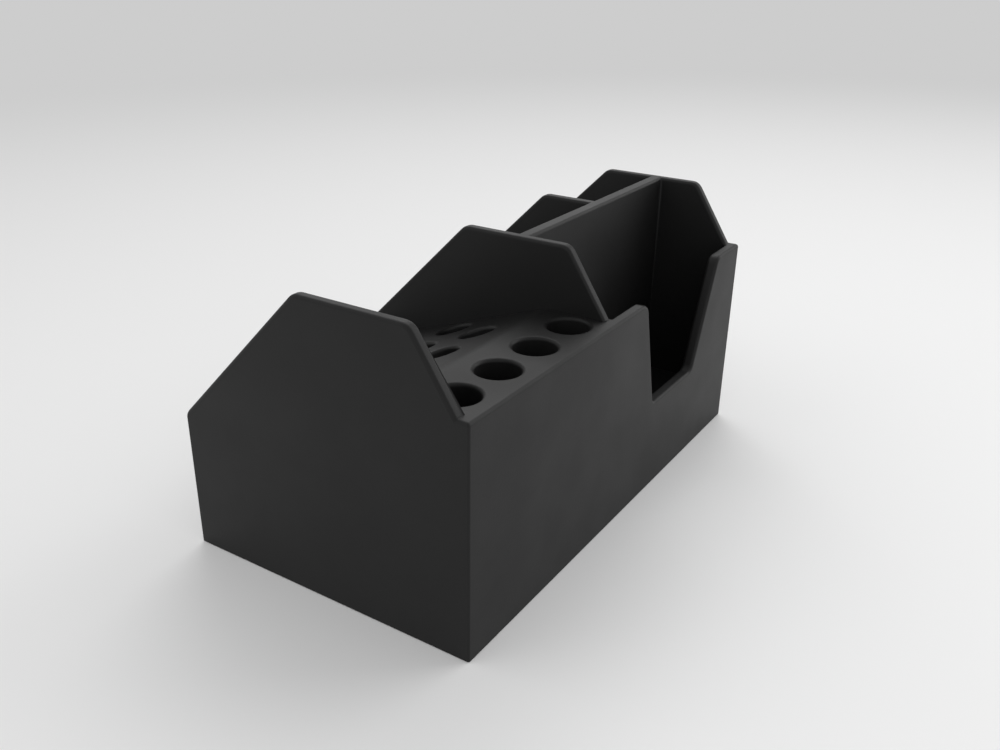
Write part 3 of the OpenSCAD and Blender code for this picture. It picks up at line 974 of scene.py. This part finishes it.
    def cut_notch(self, shell: Piece) -> None:
        """Cuts the notch through the back wall.

        Above the wall its outline turns outwards, which rounds the notch's two top corners.

        Args:
            shell: The solid to cut.
        """
        rise = self.back_height - self.notch_height
        middle = -self.length / 2 + self.notch_middle
        right = middle + self.notch_width / 2
        left = middle - self.notch_width / 2
        lean_r, lean_l = (rise * math.tan(math.radians(a)) for a in self.notch_leans)
        top, flare = self.back_height, 2 * self.notch_top
        shape = outline(
            [
                (left, self.notch_height, self.notch_bottom),
                (right, self.notch_height, self.notch_bottom),
                (right + lean_r, top, self.notch_top),
                (right + lean_r + flare, top, 0),
                (right + lean_r + flare, top + self.past, 0),
                (left - lean_l - flare, top + self.past, 0),
                (left - lean_l - flare, top, 0),
                (left - lean_l, top, self.notch_top),
            ],
            self.facets,
        )
        ring = on_xz(shape, self.y_back - self.past)
        path = (0, self.back_wall + 2 * self.past, 0)
        change(shell, solid("notch", *extrude(ring, path)), Cut.REMOVE)

    def open_base(self, shell: Piece) -> None:
        """Hollows the housing below the floor and opens the drawer's mouth.

        Args:
            shell: The solid to open.
        """
        mouth = self.floor - self.floor_plate
        for name, y0, y1, high in (
            ("under_floor", self.y_front, self.y_back, self.floor),
            ("drawer_mouth", -self.depth, self.y_front + self.past, mouth),
        ):
            tool = block(name, (-self.x_in, y0, -self.outside), (self.x_in, y1, high))
            change(shell, tool, Cut.REMOVE)

    def row(self, count: int, y: float, z: float) -> np.ndarray:
        """Places a row of holes evenly about the middle of the deck."""
        middle = self.x_mid_r + self.pen_bay / 2
        x = middle + (np.arange(count) - (count - 1) / 2) * self.pitch
        return np.stack([x, np.full(count, y), np.full(count, z)], 1)

    def holes(self) -> tuple[np.ndarray, np.ndarray]:
        """Works out where the holes are.

        Returns:
            The places of the marker holes and those of the pen holes, on the deck's surface.
        """
        markers = self.row(self.marker_holes, self.depth / 2 - self.marker_row, self.back_height)
        step = self.pitch * math.cos(math.radians(self.pen_step))
        pens = []
        for number in range(self.pen_rows):
            down = self.pen_first + number * step
            y = self.y_crease - down * math.cos(self.slope)
            z = self.back_height - down * math.sin(self.slope)
            pens.append(self.row(self.pen_holes + number % 2, y, z))
        return markers, np.concatenate(pens)

    def bore(self, shell: Piece) -> None:
        """Adds the collars under the deck and cuts the holes with their rounded rims.

        Args:
            shell: The solid to change.
        """
        markers, pens = self.holes()
        groups = (
            (markers, self.marker / 2, np.array([0.0, 0.0, 1.0])),
            (pens, self.pen / 2, self.slope_up),
        )
        low = -self.deck - self.collar_length
        for places, radius, up in groups:
            wide = radius + self.collar
            sleeve = [
                (NEAR_AXIS, low),
                (wide - self.collar_edge, low),
                (wide, low + self.collar_edge),
                (wide, -self.past),
                (NEAR_AXIS, -self.past),
            ]
            turned = lathe(np.array(sleeve), self.hole_facets, places, up)
            change(shell, solid("collars", *turned), Cut.ADD)
        bend = np.linspace(0, math.pi / 2, self.facets + 1)
        for places, radius, up in groups:
            out = radius + self.rim * (1 - np.cos(bend))
            rise = self.rim * (np.sin(bend) - 1) + self.clear
            below = [(NEAR_AXIS, low - self.past), (radius, low - self.past)]
            above = [(radius + self.rim, self.past_rim), (NEAR_AXIS, self.past_rim)]
            profile = np.concatenate([below, np.stack([out, rise], 1), above])
            turned = lathe(profile, self.hole_facets, places, up)
            change(shell, solid("bores", *turned), Cut.REMOVE)

    def radius_of(self, edge: bmesh.types.BMEdge) -> float:
        """Gives the radius of the rounding at an edge of the sharp form.

        Args:
            edge: The edge.

        Returns:
            The radius in millimetres, which is nothing below the floor and under the deck.
        """
        near, half = self.near, self.depth / 2
        middle = (edge.verts[0].co + edge.verts[1].co) / 2 / MM
        along = (edge.verts[1].co - edge.verts[0].co).normalized()
        under = self.deck_height(middle.y) - self.hidden_below
        in_deck = self.x_mid_r - near < middle.x < self.x_in + near and middle.z < under
        inside = self.y_front - near < middle.y < self.y_back + near
        upright, lengthwise = abs(along.z) > ALONG, abs(along.x) > ALONG
        turn = turn_of(edge)
        if middle.z < self.floor + near and (not upright or inside):
            return 0.0
        if turn < self.least_turn or (in_deck and inside):
            return 0.0
        if edge.is_convex:
            if upright and abs(middle.x) > self.x_in and abs(middle.y) > half - near:
                return self.outer_edge
            low, high = self.low_corner_turns
            if lengthwise and middle.y < near - half and low < turn < high:
                return self.low_corner * math.tan(math.radians(turn) / 2)
            return self.edge - self.edge_play
        if upright:
            return self.fillet
        return self.crease if lengthwise else 0.0

    def deck_height(self, y: float) -> float:
        """Gives the height of the deck's surface at a depth."""
        return self.back_height - max(0, self.y_crease - y) * math.tan(self.slope)

    def build(self, dresser: Dresser) -> None:
        """Builds the housing in the order in which its forms depend on each other.

        Args:
            dresser: Gives it its finish.
        """
        shell = self.outer_form()
        self.open_bays(shell)
        self.open_deck(shell)
        self.cut_notch(shell)
        self.open_base(shell)
        tidy(shell)
        round_edges(shell, self.radius_of, self.edge_facets)
        triangles(shell)
        self.bore(shell)
        tidy(shell, self.flat_at_last)
        smooth(shell)
        dresser.dress(shell, Slot.PLASTIC, Body.ROOT, "housing")


# The other pieces


@dataclass
class SmallMouldings:
    """The moulded pieces that keep their CAD form, some of them with soft edges."""

    # Radius of the rounding, and the shortest edge that gets it: those of screw holes are shorter
    edges: dict[str, tuple[float, float, Body]] = field(
        default_factory=lambda: {
            "drawer_front": (0.6, 0.0, Body.DRAWER),
            "drawer_tray": (0.35, 0.6, Body.DRAWER),
            "tape_cradle": (0.35, 0.6, Body.ROOT),
        }
    )
    plain: tuple[str, ...] = ("compartment_floor", "base_plate", "hub_core", "hub_cap")
    facets: int = 3

    def build(self, dresser: Dresser) -> None:
        """Softens and dresses the pieces.

        Args:
            dresser: Gives them their finish.
        """
        for node, (radius, shortest, body) in self.edges.items():
            original = dresser.frame["nodes"][node]
            piece = merged_copy(original, node + "_moulding")
            soften(piece, radius, self.facets, shortest)
            hold_within(piece, original)
            smooth(piece)
            dresser.dress(piece, Slot.PLASTIC, body, node)
        for node in self.plain:
            dresser.paint(node, Slot.PLASTIC)


@dataclass
class Screws:
    """Countersunk steel screws with a cross recess, each where its CAD solid is."""

    head: float = 4.8
    shank: float = 2.5
    head_rim: float = 0.4
    head_edge: float = 0.12
    point: float = 0.6
    point_in: float = 0.5
    wing_length: float = 2.7
    wing_width: float = 0.75
    recess_depth: float = 1.3
    recess_taper: float = 0.5
    recess_past: float = 0.2
    facets: int = 40
    # Node, body, and the direction from the head to the point
    groups: tuple[tuple[str, Body, tuple[float, float, float]], ...] = (
        ("base_screws", Body.ROOT, (0.0, 0.0, 1.0)),
        ("cradle_screws", Body.ROOT, (0.0, 0.0, 1.0)),
        ("drawer_front_screws", Body.DRAWER, (0.0, -1.0, 0.0)),
    )

    def profile(self, length: float) -> np.ndarray:
        """Gives radius and height along a screw from the middle of its head to its point."""
        head, shank = self.head / 2, self.shank / 2
        return np.array(
            [
                (NEAR_AXIS, 0),
                (head - self.head_edge, 0),
                (head, self.head_edge),
                (head, self.head_rim),
                (shank, self.head_rim + head - shank),
                (shank, length - self.point),
                (shank - self.point_in, length),
                (NEAR_AXIS, length),
            ]
        )

    def recess(self, at: np.ndarray, up: np.ndarray) -> tuple[np.ndarray, list]:
        """Makes the cross that the driver fits in, for one screw.

        The outline of a cross at the head's face shrinks evenly towards the recess's end.

        Args:
            at: Middle of the head's face.
            up: Direction from the head to the point.

        Returns:
            The points, and the faces as lists of point numbers.
        """
        a, b = self.wing_width / 2, self.wing_length / 2
        quarter = np.array([(b, -a), (b, a), (a, a)])
        turn = np.array([[0, -1], [1, 0]])
        flat = np.concatenate([quarter @ np.linalg.matrix_power(turn, k).T for k in range(4)])
        u = np.array([1.0, 0.0, 0.0])
        v = np.cross(up, u)
        ring = flat[:, :1] * u + flat[:, 1:] * v
        top = at + ring - self.recess_past * up
        return joined(top, at + ring * self.recess_taper + self.recess_depth * up)

    def build(self, dresser: Dresser) -> None:
        """Turns the screws and cuts their recesses.

        Args:
            dresser: Gives them their finish.
        """
        for node, body, direction in self.groups:
            up = np.array(direction)
            low, high = separate_solids(dresser.frame["nodes"][node])
            half = np.abs((high - low) @ up)[:, None] / 2 * up
            heads = (low + high) / 2 - half
            length = 2 * float(np.linalg.norm(half[0]))
            screws = solid(node + "_steel", *lathe(self.profile(length), self.facets, heads, up))
            for at in heads:
                change(screws, solid("recess", *self.recess(at, up)), Cut.REMOVE)
            smooth(screws)
            dresser.dress(screws, Slot.STEEL, body, node)


@dataclass
class Rivets:
    """Steel rivets with domed heads, which hold the blade on its bar."""

    shank: float = 1.6
    head: float = 3.2
    head_height: float = 0.4
    facets: int = 36
    dome_facets: int = 7

    def build(self, dresser: Dresser) -> None:
        """Turns the rivets.

        The head is a quarter of an ellipse, turned about the rivet's axis.

        Args:
            dresser: Gives them their finish.
        """
        low, high = separate_solids(dresser.frame["nodes"]["blade_rivets"])
        up = np.array([0.0, -1.0, 0.0])
        length = high[0, 1] - low[0, 1]
        ends = (low + high) / 2 - length / 2 * up
        bend = np.linspace(0, math.pi / 2, self.dome_facets, endpoint=False)
        rise = length - self.head_height * (1 - np.sin(bend))
        dome = np.stack([self.head / 2 * np.cos(bend), rise], 1)
        foot, neck = (self.shank / 2, 0), (self.shank / 2, length - self.head_height)
        profile = np.concatenate([[(NEAR_AXIS, 0), foot, neck], dome, [(NEAR_AXIS, length)]])
        rivets = solid("blade_rivets_steel", *lathe(profile, self.facets, ends, up))
        smooth(rivets)
        dresser.dress(rivets, Slot.STEEL, Body.ROOT, "blade_rivets")


@dataclass
class Hardware:
    """Steel and rubber pieces whose CAD form is right as it is."""

    steel: tuple[str, ...] = ("hub_axle", "cutter_blade")
    rubber: tuple[str, ...] = ("rubber_feet",)

    def build(self, dresser: Dresser) -> None:
        """Dresses the pieces.

        Args:
            dresser: Gives them their finish.
        """
        for node in self.steel:
            dresser.paint(node, Slot.STEEL)
        for node in self.rubber:
            dresser.paint(node, Slot.RUBBER)


# The studio


@dataclass
class Studio:
    """Floor, lamps and camera. The camera's place and turn were fitted to the photograph."""

    camera_at: tuple[float, float, float] = (287.9, 186.5, 198.3)
    looks_along: tuple[float, float, float] = (-0.76722, -0.48943, -0.41452)
    right: tuple[float, float, float] = (-0.54305, 0.83959, 0.01380)
    focal: float = 35.09
    sensor: float = 36.0
    nearest: float = 0.01
    # In metres, and so are the lamps' size, their distance and their aim
    floor_size: float = 60.0
    sky: str = "#ffffff"
    sky_strength: float = 0.61
    # Softboxes, as azimuth and elevation in degrees seen from the object, and radiance. They
    # were fitted to the greys of the photograph's faces and of its paper.
    softboxes: tuple[tuple[str, float, float, float], ...] = (
        ("softbox_back", 213.0, 45.0, 1.95),
        ("softbox_back_low", 213.0, 22.0, 0.1),
        ("softbox_right", 150.0, 40.0, 0.6),
        ("softbox_right_low", 145.0, 22.0, 1.4),
        ("softbox_left", 305.0, 40.0, 0.35),
        ("softbox_left_low", 330.0, 20.0, 0.35),
        ("softbox_camera", 32.0, 20.0, 0.3),
    )
    box_size: float = 2.2
    box_away: float = 3.2
    aim: tuple[float, float, float] = (0.0, 0.0, 0.05)

    def floor(self) -> None:
        """Lays the background paper."""
        half = self.floor_size / 2 / MM
        corners = rectangle((-half, -half), (half, half))
        paper = solid("background_paper", on_xy(corners, 0.0), [[0, 1, 2, 3]])
        paper.data.materials.append(StudioPaper().material(linear(self.sky), self.sky_strength))

    def softbox(self, name: str, azimuth: float, elevation: float, radiance: float) -> None:
        """Sets up a square softbox that faces the object and is out of the camera's sight.

        A lamp of the side a and the radiance R has the power pi R a^2.

        Args:
            name: The lamp's name.
            azimuth: Where it stands, in degrees from +X towards +Y.
            elevation: How high it stands, in degrees.
            radiance: How bright its face is, where 1 is a white surface in full light.
        """
        data = bpy.data.lights.new(name, "AREA")
        data.size = self.box_size
        data.energy = math.pi * radiance * self.box_size**2
        made = bpy.data.objects.new(name, data)
        bpy.context.scene.collection.objects.link(made)
        turn, rise = math.radians(azimuth), math.radians(elevation)
        flat = math.cos(rise)
        away = Vector((flat * math.cos(turn), flat * math.sin(turn), math.sin(rise)))
        made.rotation_euler = away.to_track_quat("Z", "Y").to_euler()
        made.location = Vector(self.aim) + away * self.box_away
        made.visible_camera = False

    def camera(self) -> None:
        """Sets up the camera as it stood for the photograph."""
        data = bpy.data.cameras.new("camera")
        data.sensor_width = self.sensor
        data.lens = self.focal
        data.clip_start = self.nearest
        made = bpy.data.objects.new("camera", data)
        bpy.context.scene.collection.objects.link(made)
        right, back = Vector(self.right), -Vector(self.looks_along)
        up = back.cross(right)
        turn = Matrix((right, up, back)).transposed().to_4x4()
        made.matrix_world = Matrix.Translation(Vector(self.camera_at) * MM) @ turn
        bpy.context.scene.camera = made

    def world(self) -> None:
        """Fills the room with even light."""
        world = bpy.data.worlds.new("room")
        world.use_nodes = True
        tree = world.node_tree
        tree.nodes.clear()
        light = add_node(
            tree,
            "ShaderNodeBackground",
            inputs={"Color": linear(self.sky), "Strength": self.sky_strength},
        )
        add_node(tree, "ShaderNodeOutputWorld", inputs={"Surface": light.outputs["Background"]})
        bpy.context.scene.world = world

    def build(self) -> None:
        """Sets up the room."""
        self.camera()
        self.world()
        self.floor()
        for box in self.softboxes:
            self.softbox(*box)
        bpy.context.scene.view_settings.view_transform = "Standard"
        LOG.info("studio set up")


def main() -> None:
    """Builds the organizer and its studio in order."""
    logging.basicConfig(level=logging.INFO, format="%(name)s: %(message)s")
    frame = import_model()
    dresser = Dresser(
        frame,
        {
            Slot.PLASTIC: MouldedPlastic().material(),
            Slot.STEEL: RolledSteel().material(),
            Slot.RUBBER: FootRubber().material(),
        },
    )
    Studio().build()
    Housing().build(dresser)
    SmallMouldings().build(dresser)
    Screws().build(dresser)
    Rivets().build(dresser)
    Hardware().build(dresser)


if __name__ == "__main__":
    main()
